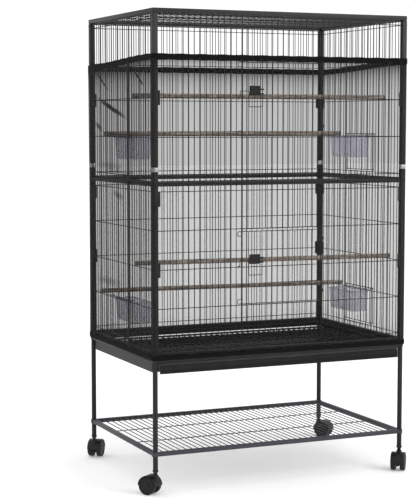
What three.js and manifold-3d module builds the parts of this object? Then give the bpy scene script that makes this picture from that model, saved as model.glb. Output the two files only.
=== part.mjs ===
// Two-tier wire flight cage on a rolling stand, with a see-through seed-catcher net.
// Millimetres. +X is the cage's right, -Y its front, +Z up. The origin is on the floor, below the middle.
import * as THREE from 'three';
import { mergeVertices } from 'three/addons/utils/BufferGeometryUtils.js';
import Module from 'manifold-3d';

const wasm = await Module();
wasm.setup();

// ---- Driving dimensions -------------------------------------------------------------------

const frameWidth = 774;         // between post axes, left to right
const frameDepth = 504;         // between post axes, front to back
const tierHeight = 467;         // one tier, rail middle to rail middle
const standHeight = 377;        // floor to the top of the stand, where the cage sits
const shelfHeight = 112;        // floor to the middle of the shelf rails
const fitGap = 0.3;             // between two pieces that touch
const past = 1;                 // how far a cutting tool passes the face it cuts
const step = 0.2;               // how far a welded piece's face stands back from its neighbour's

const postSide = 15;
const postWall = 1.2;
const plugLength = 20;          // how far a post connector goes into each post
const connectorTall = 12;       // the part of the connector that shows
const connectorRise = 40;       // from the middle rail's middle to the connector's middle
const clipTall = 40;
const clipWide = 7.5;
const clipThick = 3.6;

const railThick = 12;
const railWall = 1.2;
const baseRailTall = 14;
const midRailTall = 11;
const roofRailTall = 12;

const wirePitch = 18;
const wireStep = 2;             // wire places from one upright to the next
const thinWire = 2.2;
const heavyWire = 3.2;
const sillTall = 2.8;           // the bars that close an opening above and below
const crossWires = 5;           // cross wires in one tier's panel
const crossInset = 20;          // from a rail's middle to the nearest cross wire
const doorHalfGaps = 7;         // wire gaps from the cage's middle to the front opening's edge
const feederHalfGaps = 4.5;     // wire gaps from the side's middle to the feeder opening's edge

const doorLayerGap = 0.4;
const doorBarInset = 7;         // from the hinge wire to the door's edge bar
const doorOverlap = 3;          // how far the door passes the opening on its latch side
const doorFootClear = 4;
const doorHeadClear = 7.5;
const hairpinReach = 12;
const hairpinTall = 13;
const knuckleWall = 1.7;
const knuckleClear = 0.44;      // between the heavy upright's corners and the knuckle's bore
const knuckleTall = 8;
const knuckleInset = 26;

const latchPlateWide = 33;
const latchPlateTall = 27;
const latchPlateThick = 5.1;
const latchPlateRise = 8;       // from the middle cross wire to the plate's lower edge
const latchPlateInset = 23;     // from the door's edge bar to the plate
const latchWire = 2.2;
const latchRingDrop = 23;       // from the middle cross wire down to the pull ring's foot
const latchArchRise = 20;
const latchHookDepth = 4;
const latchGuideTall = 4;
const latchGuideWall = 2;
const latchGuideRises = [2.7, 14.9];  // from the plate's lower edge
const latchLegGap = 6;          // from the plate to the latch's right leg

const feederWide = 148;
const feederDeep = 58;
const feederTall = 64;
const feederWall = 2;
const feederHookWide = 10;
const feederHookThick = 2;
const feederHookDrop = 6;
const feederHookGaps = 2;       // wire gaps from the side's middle to a hook
const loopTall = 6;
const loopWall = 1.8;
const loopClear = 0.6;

const perchRadius = 6.75;
const perchPassing = 3;         // how far a perch end passes the side panel

const legRadius = 7;
const legWall = 1.2;
const legFoot = 62;
const socketWall = 1.2;
const socketCap = 3;
const standRailTall = 12.5;
const shelfRailTall = 12;
const gridWire = 2.4;

const runnerShort = 22;         // from a leg's axis to the end of a runner
const runnerSheet = 1.5;
const runnerDrop = 41;          // from the stand's top to the runner's foot
const runnerLedge = 18;         // from the runner's web inwards, under the grate
const grateBar = 6;
const trayHalfShort = 12;       // from a leg's axis to the tray's side
const trayLipWide = 8;
const trayWall = 1.5;
const trayFlapTall = 24;
const slideClear = 0.6;

const wheelRadius = 25;
const wheelWide = 14;
const wheelSides = 16;
const casterTrail = 18;
const casterWeb = 10;
const axleRadius = 3;
const hoodClear = 1.5;
const hoodWall = 2;
const stemClear = 0.6;          // between a stem and its leg's bore
const stemLength = 30;
const bossRadius = 8;
const casterWebShare = 0.8;     // of a wheel's radius

const netStandOff = 1;          // between the net and what stands furthest out in it
const netWall = 1;
const netCornerClear = 0.5;     // between a post's corner and the net round it
const elasticWall = 2;
const topElasticTall = 17;
const topElasticDrop = 5.5;     // from the upper tier's fourth cross wire to the elastic's foot
const hemTall = 14;
const hemDrop = 5;              // from the stand's top to the hem's foot

// ---- Heights and places worked out from them ----------------------------------------------

const halfWidth = frameWidth / 2;
const halfDepth = frameDepth / 2;
const baseRailMiddle = standHeight + fitGap + baseRailTall / 2;
const midRailMiddle = baseRailMiddle + tierHeight;
const roofMiddle = midRailMiddle + tierHeight;
const roofFoot = roofMiddle - roofRailTall / 2;
const connectorMiddle = midRailMiddle + connectorRise;
const crossLayer = thinWire / 2 + fitGap;
const doorAt = doorHalfGaps * wirePitch;
const feederAt = feederHalfGaps * wirePitch;
const standRailFoot = standHeight - standRailTall;
const wheelGap = casterWeb / 2 + hoodClear;
const socketBore = legRadius + fitGap;
const socketRadius = socketBore + socketWall;
const stemRadius = legRadius - legWall - stemClear;
const netInside = Math.max(postSide / 2, socketRadius) + netStandOff;
const netCorner = (netInside - postSide / 2 - netCornerClear) / (1 - Math.SQRT1_2);

// heavyAt is the place of the two heavy uprights, from the side's middle
const sides = [
  { name: 'front', x: 0, y: -halfDepth, turn: 0, span: frameWidth, heavyAt: doorAt },
  { name: 'right', x: halfWidth, y: 0, turn: Math.PI / 2, span: frameDepth, heavyAt: feederAt },
  { name: 'back', x: 0, y: halfDepth, turn: Math.PI, span: frameWidth, heavyAt: doorAt },
  { name: 'left', x: -halfWidth, y: 0, turn: -Math.PI / 2, span: frameDepth, heavyAt: feederAt },
];

// swing is the way each caster trails, anticlockwise from +X
const corners = [
  { name: 'front_left', x: -1, y: -1, swing: 126 },
  { name: 'front_right', x: 1, y: -1, swing: 232 },
  { name: 'back_left', x: -1, y: 1, swing: 52 },
  { name: 'back_right', x: 1, y: 1, swing: 306 },
];

const tiers = [
  { name: 'lower', foot: baseRailMiddle, head: midRailMiddle },
  { name: 'upper', foot: midRailMiddle, head: roofMiddle },
];

// the middles of a tier's cross wires, lowest first
function crossHeights(tier) {
  const first = tier.foot + crossInset;
  const gap = (tier.head - tier.foot - 2 * crossInset) / (crossWires - 1);
  return Array.from({ length: crossWires }, (_, i) => first + i * gap);
}

// ---- Finishes -----------------------------------------------------------------------------

const finish = (color, roughness, metalness, extra = {}) =>
  new THREE.MeshStandardMaterial({ color, roughness, metalness, ...extra });
const powderCoat = () => finish(0x2b2b2e, 0.5, 0.4);
const zinc = () => finish(0xb9bbbd, 0.35, 0.9);
const dowel = () => finish(0x8a7564, 0.75, 0);
const trayPlastic = () => finish(0x0b0b0c, 0.3, 0);
const cupPlastic = () => finish(0xc3c1cf, 0.3, 0, { transparent: true, opacity: 0.6 });
const casterPlastic = () => finish(0x17181a, 0.45, 0);
const netGauze = () => finish(0x6b6b6b, 0.9, 0, { transparent: true, opacity: 0.35 });
const elastic = () => finish(0x121212, 0.9, 0);

// ---- Solids -------------------------------------------------------------------------------

function solidOf(geometry) {
  geometry.deleteAttribute('normal');
  geometry.deleteAttribute('uv');
  const merged = mergeVertices(geometry, 1e-4);
  return new wasm.Manifold(new wasm.Mesh({
    numProp: 3,
    vertProperties: new Float32Array(merged.attributes.position.array),
    triVerts: new Uint32Array(merged.index.array),
  }));
}

function block(x0, x1, y0, y1, z0, z1) {
  const box = new THREE.BoxGeometry(x1 - x0, y1 - y0, z1 - z0);
  box.translate((x0 + x1) / 2, (y0 + y1) / 2, (z0 + z1) / 2);
  return solidOf(box);
}

// a block given by its middle and its size
function bar(x, y, z, wide, deep, tall) {
  return block(x - wide / 2, x + wide / 2, y - deep / 2, y + deep / 2, z - tall / 2, z + tall / 2);
}

function rod(x, y, z0, z1, radius, segments = 12) {
  const geometry = new THREE.CylinderGeometry(radius, radius, z1 - z0, segments);
  geometry.rotateX(Math.PI / 2);
  geometry.translate(x, y, (z0 + z1) / 2);
  return solidOf(geometry);
}

const join = (solids) => solids.reduce((sum, solid) => sum.add(solid));
const cut = (solid, tools) => tools.reduce((left, tool) => left.subtract(tool), solid);

function meshOf(name, solid, material) {
  const { vertProperties, triVerts } = solid.getMesh();
  const geometry = new THREE.BufferGeometry();
  geometry.setAttribute('position', new THREE.BufferAttribute(new Float32Array(vertProperties), 3));
  geometry.setIndex(new THREE.BufferAttribute(new Uint32Array(triVerts), 1));
  geometry.computeVertexNormals();
  const mesh = new THREE.Mesh(geometry, material);
  mesh.name = name;
  return mesh;
}

const model = new THREE.Group();

// ---- Posts and their connectors -----------------------------------------------------------

// Clips stand on the two inner faces of a post and hold the panels from outside.
function clips(corner, middle) {
  const face = postSide / 2 - postWall / 2;
  const outside = heavyWire / 2 + fitGap + clipThick / 2;
  const length = clipWide + postWall / 2;
  return [
    bar(-corner.x * (face + length / 2), corner.y * outside, middle, length, clipThick, clipTall),
    bar(corner.x * outside, -corner.y * (face + length / 2), middle, clipThick, length, clipTall),
  ];
}

function post(corner, foot, head, clipMiddles) {
  const tube = bar(0, 0, (foot + head) / 2, postSide, postSide, head - foot);
  const inside = postSide - 2 * postWall;
  const hollow = bar(0, 0, (foot + head) / 2, inside, inside, head - foot + 2 * past);
  const brackets = clipMiddles.flatMap((middle) => clips(corner, middle));
  return join([cut(tube, [hollow]), ...brackets]);
}

function connector() {
  const plug = postSide - 2 * postWall - 2 * fitGap;
  const collar = bar(0, 0, connectorMiddle, postSide, postSide, connectorTall);
  const tall = connectorTall + 2 * plugLength;
  return collar.add(bar(0, 0, connectorMiddle, plug, plug, tall));
}

for (const corner of corners) {
  const [lowerCross, upperCross] = tiers.map(crossHeights);
  const middle = (crossWires - 1) / 2;
  const lowerClips = [lowerCross[middle], lowerCross[crossWires - 1] - clipTall / 2];
  const collarHalf = connectorTall / 2 + fitGap;
  const parts = [
    meshOf(`lower_post_${corner.name}`,
      post(corner, standHeight + fitGap, connectorMiddle - collarHalf, lowerClips), powderCoat()),
    meshOf(`upper_post_${corner.name}`,
      post(corner, connectorMiddle + collarHalf, roofFoot - fitGap, [upperCross[middle]]),
      powderCoat()),
    meshOf(`post_connector_${corner.name}`, connector(), zinc()),
  ];
  for (const part of parts) {
    part.position.set(corner.x * halfWidth, corner.y * halfDepth, 0);
    model.add(part);
  }
}

// ---- Wire panels --------------------------------------------------------------------------
// A panel lies in its own XZ plane with its outer side towards -Y, and is turned to its side of
// the cage. Upright wires are on the plane; cross wires lie just inside them and are welded to
// the two heavy uprights.

// places of the thin uprights between the posts, counted both ways from the heavy upright
function uprightPlaces(span, heavyAt) {
  const limit = span / 2 - postSide / 2 - heavyWire - wirePitch / 3;
  const gap = wireStep * wirePitch;
  const places = [];
  for (let x = heavyAt - gap; x > 0; x -= gap) places.push(x, -x);
  for (let x = heavyAt + gap; x < limit; x += gap) places.push(x, -x);
  return places;
}

function tube(length, middle, tall) {
  const inside = tall - 2 * railWall;
  return bar(0, 0, middle, length, railThick, tall)
    .subtract(bar(0, 0, middle, length + 2 * past, railThick - 2 * railWall, inside));
}

function wirePanel({ span, tier, heavyAt, opening }) {
  const reach = span / 2 - postSide / 2 - fitGap;
  const isLower = tier === tiers[0];
  const foot = isLower
    ? tier.foot + baseRailTall / 2
    : tier.foot + midRailTall / 2 + fitGap;
  const head = isLower ? tier.head - midRailTall / 2 : tier.head - roofRailTall / 2 - fitGap * 2;
  const sunk = railWall - step;
  const low = isLower ? foot - sunk : foot + sunk;
  const high = isLower ? head + sunk : head - sunk;
  const upright = (x, z0, z1, wire) => bar(x, 0, (z0 + z1) / 2, wire, wire, z1 - z0);

  const solids = [];
  if (isLower) {
    solids.push(tube(2 * reach, tier.foot, baseRailTall));
    solids.push(tube(2 * reach, tier.head, midRailTall));
  } else {
    solids.push(bar(0, 0, foot + heavyWire / 2, 2 * reach, heavyWire, heavyWire));
    solids.push(bar(0, 0, head - heavyWire / 2, 2 * reach, heavyWire, heavyWire));
  }
  for (const x of [heavyAt, -heavyAt]) solids.push(upright(x, low, high, heavyWire));
  for (const x of [reach - heavyWire / 2, heavyWire / 2 - reach]) {
    solids.push(upright(x, low, high, thinWire));
  }
  for (const x of uprightPlaces(span, heavyAt)) {
    if (opening && Math.abs(x) < heavyAt) {
      solids.push(upright(x, low, opening.low, thinWire));
      solids.push(upright(x, opening.high, high, thinWire));
    } else {
      solids.push(upright(x, low, high, thinWire));
    }
  }
  const cross = (x0, x1, z) =>
    block(x0, x1, crossLayer, crossLayer + thinWire, z - thinWire / 2, z + thinWire / 2);
  for (const z of crossHeights(tier)) {
    if (opening && z > opening.low && z < opening.high) {
      solids.push(cross(heavyAt - heavyWire / 2, reach, z));
      solids.push(cross(-reach, heavyWire / 2 - heavyAt, z));
    } else {
      solids.push(cross(-reach, reach, z));
    }
  }
  if (opening) {
    for (const z of [opening.low, opening.high]) {
      solids.push(bar(0, 0, z, 2 * heavyAt, heavyWire - step, sillTall));
    }
  }
  return join(solids);
}

function openingOf(side, tier) {
  const z = crossHeights(tier);
  if (side.name === 'front') return { low: z[1], high: z[3] };
  if (side.name === 'back') return null;
  return { low: z[0], high: z[1] };
}

function place(mesh, side) {
  mesh.position.set(side.x, side.y, 0);
  mesh.rotation.z = side.turn;
  model.add(mesh);
}

for (const tier of tiers) {
  for (const side of sides) {
    const panel = wirePanel({ ...side, tier, opening: openingOf(side, tier) });
    place(meshOf(`${side.name}_panel_${tier.name}`, panel, powderCoat()), side);
  }
}

// ---- Roof ---------------------------------------------------------------------------------

// Front-to-back wires between two rails, with cross wires just below them.
function wireFloor({ wide, deep, middle, reachX, crossPlaces }) {
  const solids = [];
  for (const x of uprightPlaces(wide, doorAt)) {
    solids.push(bar(x, 0, middle, gridWire, deep, gridWire));
  }
  const below = middle - gridWire - fitGap;
  for (const y of crossPlaces) {
    solids.push(bar(0, y, below, reachX, gridWire, gridWire));
  }
  return solids;
}

function ring(halfX, halfY, thick, z0, z1) {
  const outer = block(-halfX, halfX, -halfY, halfY, z0, z1);
  const hole = block(thick - halfX, halfX - thick, thick - halfY, halfY - thick, z0 - past,
    z1 + past);
  return outer.subtract(hole);
}

function roofPanel() {
  const outerX = halfWidth + postSide / 2;
  const outerY = halfDepth + postSide / 2;
  const frame = ring(outerX, outerY, postSide, roofFoot, roofFoot + roofRailTall);
  const insideX = 2 * (outerX - postSide + step);
  const insideY = 2 * (outerY - postSide + step);
  const wires = wireFloor({
    wide: frameWidth,
    deep: insideY,
    middle: roofMiddle,
    reachX: insideX,
    crossPlaces: [-0.3, -0.1, 0.1, 0.3].map((share) => share * frameDepth),
  });
  return join([frame, ...wires]);
}

model.add(meshOf('roof_panel', roofPanel(), powderCoat()));

// ---- Front doors and their latches --------------------------------------------------------
// Both are made on the front panel's own plane, with its outer side towards -Y.

const doorNear = -(heavyWire / 2 + doorLayerGap);
const doorFar = doorNear - thinWire;
const doorMiddleY = (doorNear + doorFar) / 2;
const doorLeft = -(doorAt + doorOverlap);
const doorRight = doorAt - doorBarInset;

function doorRange(tier) {
  const z = crossHeights(tier);
  return { low: z[1] + doorFootClear, middle: z[2], high: z[3] - doorHeadClear };
}

const knuckleBore = heavyWire * Math.SQRT1_2 + knuckleClear;
const knuckleRadius = knuckleBore + knuckleWall;

// A knuckle turns round the heavy upright at the opening's right edge.
function knuckle(z) {
  const sleeve = rod(doorAt, 0, z - knuckleTall / 2, z + knuckleTall / 2, knuckleRadius, 12)
    .subtract(rod(doorAt, 0, z - knuckleTall, z + knuckleTall, knuckleBore, 12));
  const end = doorAt - knuckleBore + fitGap;
  const half = knuckleTall / 2 - step;
  return sleeve.add(block(doorRight, end, doorFar + step, doorNear - step, z - half, z + half));
}

// A hairpin closes the ends of two door wires and overlaps the opening's left edge.
function hairpin(z, up) {
  const end = doorLeft - hairpinReach;
  const middle = (doorLeft + end) / 2;
  const far = z + up * hairpinTall;
  const deep = thinWire - 2 * step;
  return [
    bar(middle, doorMiddleY, z, hairpinReach, deep, thinWire),
    bar(middle, doorMiddleY, far, hairpinReach, deep, thinWire),
    bar(end, doorMiddleY, (z + far) / 2, thinWire, thinWire, hairpinTall + heavyWire),
  ];
}

const plateLeft = doorLeft + latchPlateInset;
const plateRight = plateLeft + latchPlateWide;
const plateNear = doorFar + thinWire / 2;
const plateFar = plateNear - latchPlateThick;
const latchWireNear = doorFar - fitGap;
const latchWireY = latchWireNear - latchWire / 2;
const latchGuideX = plateRight + latchLegGap;

// The plate carries two guides that the latch's right leg slides in.
function latchPlate(middle) {
  const foot = middle + latchPlateRise;
  const plate = block(plateLeft, plateRight, plateFar, plateNear, foot, foot + latchPlateTall);
  const slot = latchWire / 2 + fitGap;
  const guides = latchGuideRises.map((rise) => {
    const z = foot + rise;
    const right = latchGuideX + slot + latchGuideWall;
    return block(plateRight - 1, right, plateFar + step, plateNear - step, z, z + latchGuideTall);
  });
  const bore = block(latchGuideX - slot, latchGuideX + slot, latchWireY - slot, plateNear + past,
    foot - past, foot + latchPlateTall + past);
  return cut(join([plate, ...guides]), [bore]);
}

function frontDoor(tier) {
  const { low, middle, high } = doorRange(tier);
  const tall = high - low;
  const across = (doorLeft + doorRight) / 2;
  const edge = (x) =>
    bar(x, doorMiddleY, (low + high) / 2, heavyWire, thinWire, tall + 2 * heavyWire);
  const solids = [edge(doorLeft), edge(doorRight)];
  for (const z of [low, middle, high]) {
    solids.push(bar(across, doorMiddleY, z, doorRight - doorLeft, thinWire - step, heavyWire));
  }
  for (const x of uprightPlaces(frameWidth, doorAt)) {
    if (Math.abs(x) < doorAt) {
      solids.push(bar(x, doorMiddleY, (low + high) / 2, thinWire, thinWire - 2 * step, tall));
    }
  }
  solids.push(knuckle(low + knuckleInset));
  solids.push(knuckle(high - knuckleInset));
  solids.push(...hairpin(low, 1));
  solids.push(...hairpin(high, -1));
  solids.push(latchPlate(middle));
  return join(solids);
}

// One bent wire: a pull ring below the plate, and an arch on its left whose tip drops behind
// the middle cross wire. Lifting it frees the door.
function latchHook(tier) {
  const { middle } = doorRange(tier);
  const wire = latchWire;
  const legX = plateLeft - wire;
  const tipX = doorLeft - heavyWire / 2 - fitGap - 2 * wire;
  const foot = middle - latchRingDrop;
  const arch = middle + latchArchRise;
  const right = middle + latchPlateRise + latchPlateTall;
  const rest = middle + thinWire / 2 + fitGap;
  const back = crossLayer + thinWire + fitGap + wire;
  const upright = (x, z0, z1) =>
    bar(x, latchWireY, (z0 + z1) / 2, wire, wire, z1 - z0 + wire);
  const level = (x0, x1, z) =>
    bar((x0 + x1) / 2, latchWireY, z, x1 - x0, wire - step, wire - step);
  const through = block(tipX - wire / 2 + step, tipX + wire / 2 - step, latchWireY, back - step,
    rest + step, rest + wire - step);
  const tip = block(tipX - wire / 2, tipX + wire / 2, back - wire, back,
    middle - latchHookDepth, rest + wire);
  return join([
    upright(legX, foot, arch),
    upright(latchGuideX, foot, right),
    level(legX, latchGuideX, foot),
    level(tipX, legX, arch),
    upright(tipX, rest + wire / 2, arch),
    through,
    tip,
  ]);
}

for (const tier of tiers) {
  place(meshOf(`front_door_${tier.name}`, frontDoor(tier), powderCoat()), sides[0]);
  place(meshOf(`door_latch_${tier.name}`, latchHook(tier), powderCoat()), sides[0]);
}

// ---- Feeder doors and cups, made on a side panel's own plane ------------------------------

const hookFar = heavyWire / 2 + fitGap + feederHookThick;
const feederDoorNear = -(hookFar + fitGap);
const feederDoorFar = feederDoorNear - thinWire;
const loopBack = heavyWire / 2 + loopClear + loopWall;
const cupBack = loopBack + 1;

// A loop runs on the heavy upright, between two cross wires.
function loop(x, z) {
  const half = heavyWire / 2 + loopClear;
  const outer = block(x - half - loopWall, x + half + loopWall, feederDoorFar + step, loopBack,
    z, z + loopTall);
  return outer.subtract(block(x - half, x + half, -half, half, z - past,
    z + loopTall + past));
}

function feederDoor(tier) {
  const z = crossHeights(tier);
  const low = z[0] + heavyWire;
  const high = z[1] + heavyWire + loopTall;
  const y = (feederDoorNear + feederDoorFar) / 2;
  const level = (height) => bar(0, y, height, 2 * feederAt, thinWire - 2 * step, thinWire);
  const solids = [level(low + thinWire), level(high - thinWire)];
  for (const x of [-feederAt, feederAt]) {
    solids.push(bar(x, y, (low + high) / 2, heavyWire, thinWire, high - low));
    solids.push(loop(x, low + step));
    solids.push(loop(x, high - step - loopTall));
  }
  const tall = high - low - 2 * thinWire;
  for (const x of uprightPlaces(frameDepth, feederAt)) {
    if (Math.abs(x) < feederAt) {
      solids.push(bar(x, y, (low + high) / 2, thinWire, thinWire - 3 * step, tall));
    }
  }
  return join(solids);
}

// An open cup with two hooks that hang on the cross wire above the feeder opening.
function feederCup(tier) {
  const rim = crossHeights(tier)[1];
  const foot = rim - feederTall;
  const half = feederWide / 2;
  const cup = block(-half, half, cupBack, cupBack + feederDeep, foot, rim);
  const inside = block(feederWall - half, half - feederWall, cupBack + feederWall,
    cupBack + feederDeep - feederWall, foot + feederWall, rim + past);
  const seat = rim + sillTall / 2 + fitGap;
  const top = seat + feederHookThick;
  const hooks = [-1, 1].flatMap((way) => {
    const x = way * feederHookGaps * wirePitch;
    const x0 = x - feederHookWide / 2;
    const x1 = x + feederHookWide / 2;
    return [
      block(x0, x1, cupBack + step, cupBack + feederWall - step, rim - feederWall, top),
      block(x0 + step, x1 - step, step - hookFar, cupBack + feederWall / 2, seat, top - step),
      block(x0, x1, -hookFar, feederHookThick - hookFar, rim - feederHookDrop, top),
    ];
  });
  return join([cup.subtract(inside), ...hooks]);
}

for (const tier of tiers) {
  for (const side of [sides[1], sides[3]]) {
    const label = `${side.name}_${tier.name}`;
    place(meshOf(`feeder_door_${label}`, feederDoor(tier), powderCoat()), side);
    place(meshOf(`feeder_cup_${label}`, feederCup(tier), cupPlastic()), side);
  }
}

// ---- Perches ------------------------------------------------------------------------------
// Each lies on a cross wire of both side panels, its ends between two uprights. left and right
// count wire gaps from the side's middle, towards the back.

const perches = [
  { name: 'perch_upper_front', tier: 1, wire: 2, left: -5, right: -8 },
  { name: 'perch_upper_back', tier: 1, wire: 1, left: 8, right: 7 },
  { name: 'perch_lower_front', tier: 0, wire: 2, left: -6, right: -10 },
  { name: 'perch_lower_back', tier: 0, wire: 1, left: 10, right: 6 },
];

for (const { name, tier, wire, left, right } of perches) {
  const z = crossHeights(tiers[tier])[wire] + thinWire / 2 + fitGap + perchRadius;
  const end = halfWidth + perchPassing;
  const from = new THREE.Vector3(-end, left * wirePitch, z);
  const to = new THREE.Vector3(end, right * wirePitch, z);
  const geometry = new THREE.CylinderGeometry(perchRadius, perchRadius, from.distanceTo(to), 16);
  const mesh = new THREE.Mesh(geometry, dowel());
  mesh.name = name;
  mesh.position.addVectors(from, to).multiplyScalar(0.5);
  mesh.quaternion.setFromUnitVectors(new THREE.Vector3(0, 1, 0), to.clone().sub(from).normalize());
  model.add(mesh);
}

// ---- Stand: legs, top frame, shelf --------------------------------------------------------

function leg() {
  const head = standHeight - socketCap - fitGap;
  return rod(0, 0, legFoot, head, legRadius)
    .subtract(rod(0, 0, legFoot - past, head + past, legRadius - legWall));
}

// four rails between sockets that fit round the legs
function socketFrame(foot, railTall, bore) {
  const middle = foot + railTall / 2;
  const solids = [];
  for (const way of [-1, 1]) {
    solids.push(bar(0, way * halfDepth, middle, frameWidth, railThick, railTall));
    solids.push(bar(way * halfWidth, 0, middle, railThick, frameDepth, railTall - 2 * step));
  }
  const bores = [];
  for (const corner of corners) {
    const x = corner.x * halfWidth;
    const y = corner.y * halfDepth;
    solids.push(rod(x, y, foot + 2 * step, foot + railTall - 2 * step, socketRadius));
    bores.push(rod(x, y, foot - past, bore, socketBore));
  }
  return cut(join(solids), bores);
}

function shelf() {
  const foot = shelfHeight - shelfRailTall / 2;
  const frame = socketFrame(foot, shelfRailTall, foot + shelfRailTall + past);
  const wires = wireFloor({
    wide: frameWidth,
    deep: frameDepth - railThick + 2 * step,
    middle: shelfHeight + gridWire,
    reachX: frameWidth - railThick + 2 * step,
    crossPlaces: [-frameDepth / 6, frameDepth / 6],
  });
  return join([frame, ...wires]);
}

for (const corner of corners) {
  const mesh = meshOf(`leg_${corner.name}`, leg(), powderCoat());
  mesh.position.set(corner.x * halfWidth, corner.y * halfDepth, 0);
  model.add(mesh);
}
model.add(meshOf('stand_top_frame',
  socketFrame(standRailFoot, standRailTall, standHeight - socketCap), powderCoat()));
model.add(meshOf('shelf', shelf(), powderCoat()));

// ---- Runners, tray and grate --------------------------------------------------------------

const runnerFoot = standHeight - runnerDrop;
const grateHead = standRailFoot - slideClear;
const grateFoot = grateHead - grateBar;
const ledgeHead = grateFoot - fitGap;
const trayHalf = halfWidth - trayHalfShort;
const webInside = halfWidth - runnerSheet / 2;
const ledgeInside = webInside - runnerLedge;

// A sheet runner: a web, a lower lip under the tray and an upper ledge under the grate.
function runner(way) {
  const inner = trayHalf - trayLipWide;
  const outline = new THREE.Shape([
    new THREE.Vector2(inner, runnerFoot),
    new THREE.Vector2(webInside + runnerSheet, runnerFoot),
    new THREE.Vector2(webInside + runnerSheet, standRailFoot - fitGap),
    new THREE.Vector2(webInside, standRailFoot - fitGap),
    new THREE.Vector2(webInside, ledgeHead),
    new THREE.Vector2(ledgeInside, ledgeHead),
    new THREE.Vector2(ledgeInside, ledgeHead - runnerSheet),
    new THREE.Vector2(webInside, ledgeHead - runnerSheet),
    new THREE.Vector2(webInside, runnerFoot + runnerSheet),
    new THREE.Vector2(inner, runnerFoot + runnerSheet),
  ]);
  const length = frameDepth - 2 * runnerShort;
  const geometry = new THREE.ExtrudeGeometry(outline, { depth: length, bevelEnabled: false });
  geometry.rotateX(Math.PI / 2);
  geometry.translate(0, length / 2, 0);
  if (way < 0) geometry.rotateZ(Math.PI);
  return solidOf(geometry);
}

// Its front flap is taller than its walls and hides the runners' ends.
function tray() {
  const front = -halfDepth - railThick / 2;
  const back = halfDepth - railThick;
  const foot = runnerFoot + runnerSheet + fitGap;
  const head = ledgeHead - runnerSheet - fitGap;
  const flapHead = grateFoot - fitGap;
  const pan = block(-trayHalf, trayHalf, front, back, foot, head);
  const flapBack = front + trayWall - step;
  const flap = block(step - trayHalf, trayHalf - step, front - step, flapBack,
    flapHead - trayFlapTall, flapHead);
  const inside = block(trayWall - trayHalf, trayHalf - trayWall, front + trayWall, back - trayWall,
    foot + trayWall, flapHead + past);
  return pan.subtract(inside).add(flap);
}

const grateFront = -halfDepth - railThick / 2 + slideClear;
const grateBack = halfDepth - railThick;

function grate() {
  const half = halfWidth - legRadius - slideClear;
  const deep = grateBack - grateFront;
  const frame = ring(half, deep / 2, grateBar, grateFoot, grateHead);
  const wires = wireFloor({
    wide: frameWidth,
    deep: deep - 2 * grateBar + 2 * step,
    middle: grateHead - gridWire / 2 - fitGap,
    reachX: 2 * (half - grateBar + step),
    crossPlaces: [-frameDepth / 6, frameDepth / 6],
  });
  return join([frame, ...wires]);
}

model.add(meshOf('tray_runner_right', runner(1), powderCoat()));
model.add(meshOf('tray_runner_left', runner(-1), powderCoat()));
model.add(meshOf('tray', tray(), trayPlastic()));
const grateMesh = meshOf('floor_grate', grate(), powderCoat());
grateMesh.position.y = (grateFront + grateBack) / 2;
model.add(grateMesh);

// ---- Casters ------------------------------------------------------------------------------
// Each is made trailing towards +X with its stem on the Z axis, then turned to its rest place.

// a cylinder along the wheels' axle
function disc(radius, y0, y1, segments) {
  const geometry = new THREE.CylinderGeometry(radius, radius, y1 - y0, segments);
  geometry.translate(casterTrail, (y0 + y1) / 2, wheelRadius);
  return solidOf(geometry);
}

// A hood over both wheels, a web between them that holds the axle, and the stem.
function casterHousing() {
  const inner = wheelRadius + hoodClear;
  const outer = inner + hoodWall;
  const side = wheelGap + wheelWide;
  const top = wheelRadius + outer + hoodWall;
  const webHalf = wheelRadius * casterWebShare;
  const room = casterTrail + 2 * outer;
  const shell = disc(outer, -side, side, 20);
  const upper = block(-room, room, -side, side, wheelRadius, top);
  const webSide = casterWeb / 2 - step;
  const web = block(casterTrail - webHalf, casterTrail + webHalf, -webSide, webSide,
    wheelRadius / 2, wheelRadius + webHalf);
  const boss = rod(0, 0, wheelRadius + inner / 2, top, bossRadius);
  const stem = rod(0, 0, top - hoodWall, top + stemLength, stemRadius);
  const rooms = [
    disc(inner, casterWeb / 2, side + past, 20),
    disc(inner, -side - past, -casterWeb / 2, 20),
    disc(axleRadius + fitGap, -casterWeb, casterWeb, 12),
  ];
  return cut(join([shell.intersect(upper), web, boss, stem]), rooms);
}

// two wheels on one axle
function casterWheels() {
  const face = wheelGap + wheelWide;
  const profile = [
    [0, -face], [wheelRadius, -face], [wheelRadius, -wheelGap], [axleRadius, -wheelGap],
    [axleRadius, wheelGap], [wheelRadius, wheelGap], [wheelRadius, face], [0, face],
  ].map(([x, y]) => new THREE.Vector2(x, y));
  const geometry = new THREE.LatheGeometry(profile, wheelSides);
  geometry.translate(casterTrail, 0, wheelRadius);
  return solidOf(geometry);
}

for (const corner of corners) {
  const pieces = [
    meshOf(`caster_housing_${corner.name}`, casterHousing(), casterPlastic()),
    meshOf(`caster_wheels_${corner.name}`, casterWheels(), casterPlastic()),
  ];
  for (const piece of pieces) {
    piece.position.set(corner.x * halfWidth, corner.y * halfDepth, 0);
    piece.rotation.z = THREE.MathUtils.degToRad(corner.swing);
    model.add(piece);
  }
}

// ---- Net ----------------------------------------------------------------------------------

// a rectangle with round corners, standing off the posts and the stand's sockets
function netOutline(offset) {
  const x = halfWidth + netInside + offset;
  const y = halfDepth + netInside + offset;
  const r = netCorner + offset;
  const shape = new THREE.Shape();
  shape.absarc(x - r, y - r, r, 0, Math.PI / 2, false);
  shape.absarc(r - x, y - r, r, Math.PI / 2, Math.PI, false);
  shape.absarc(r - x, r - y, r, Math.PI, Math.PI * 1.5, false);
  shape.absarc(x - r, r - y, r, Math.PI * 1.5, Math.PI * 2, false);
  shape.closePath();
  return shape;
}

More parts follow.
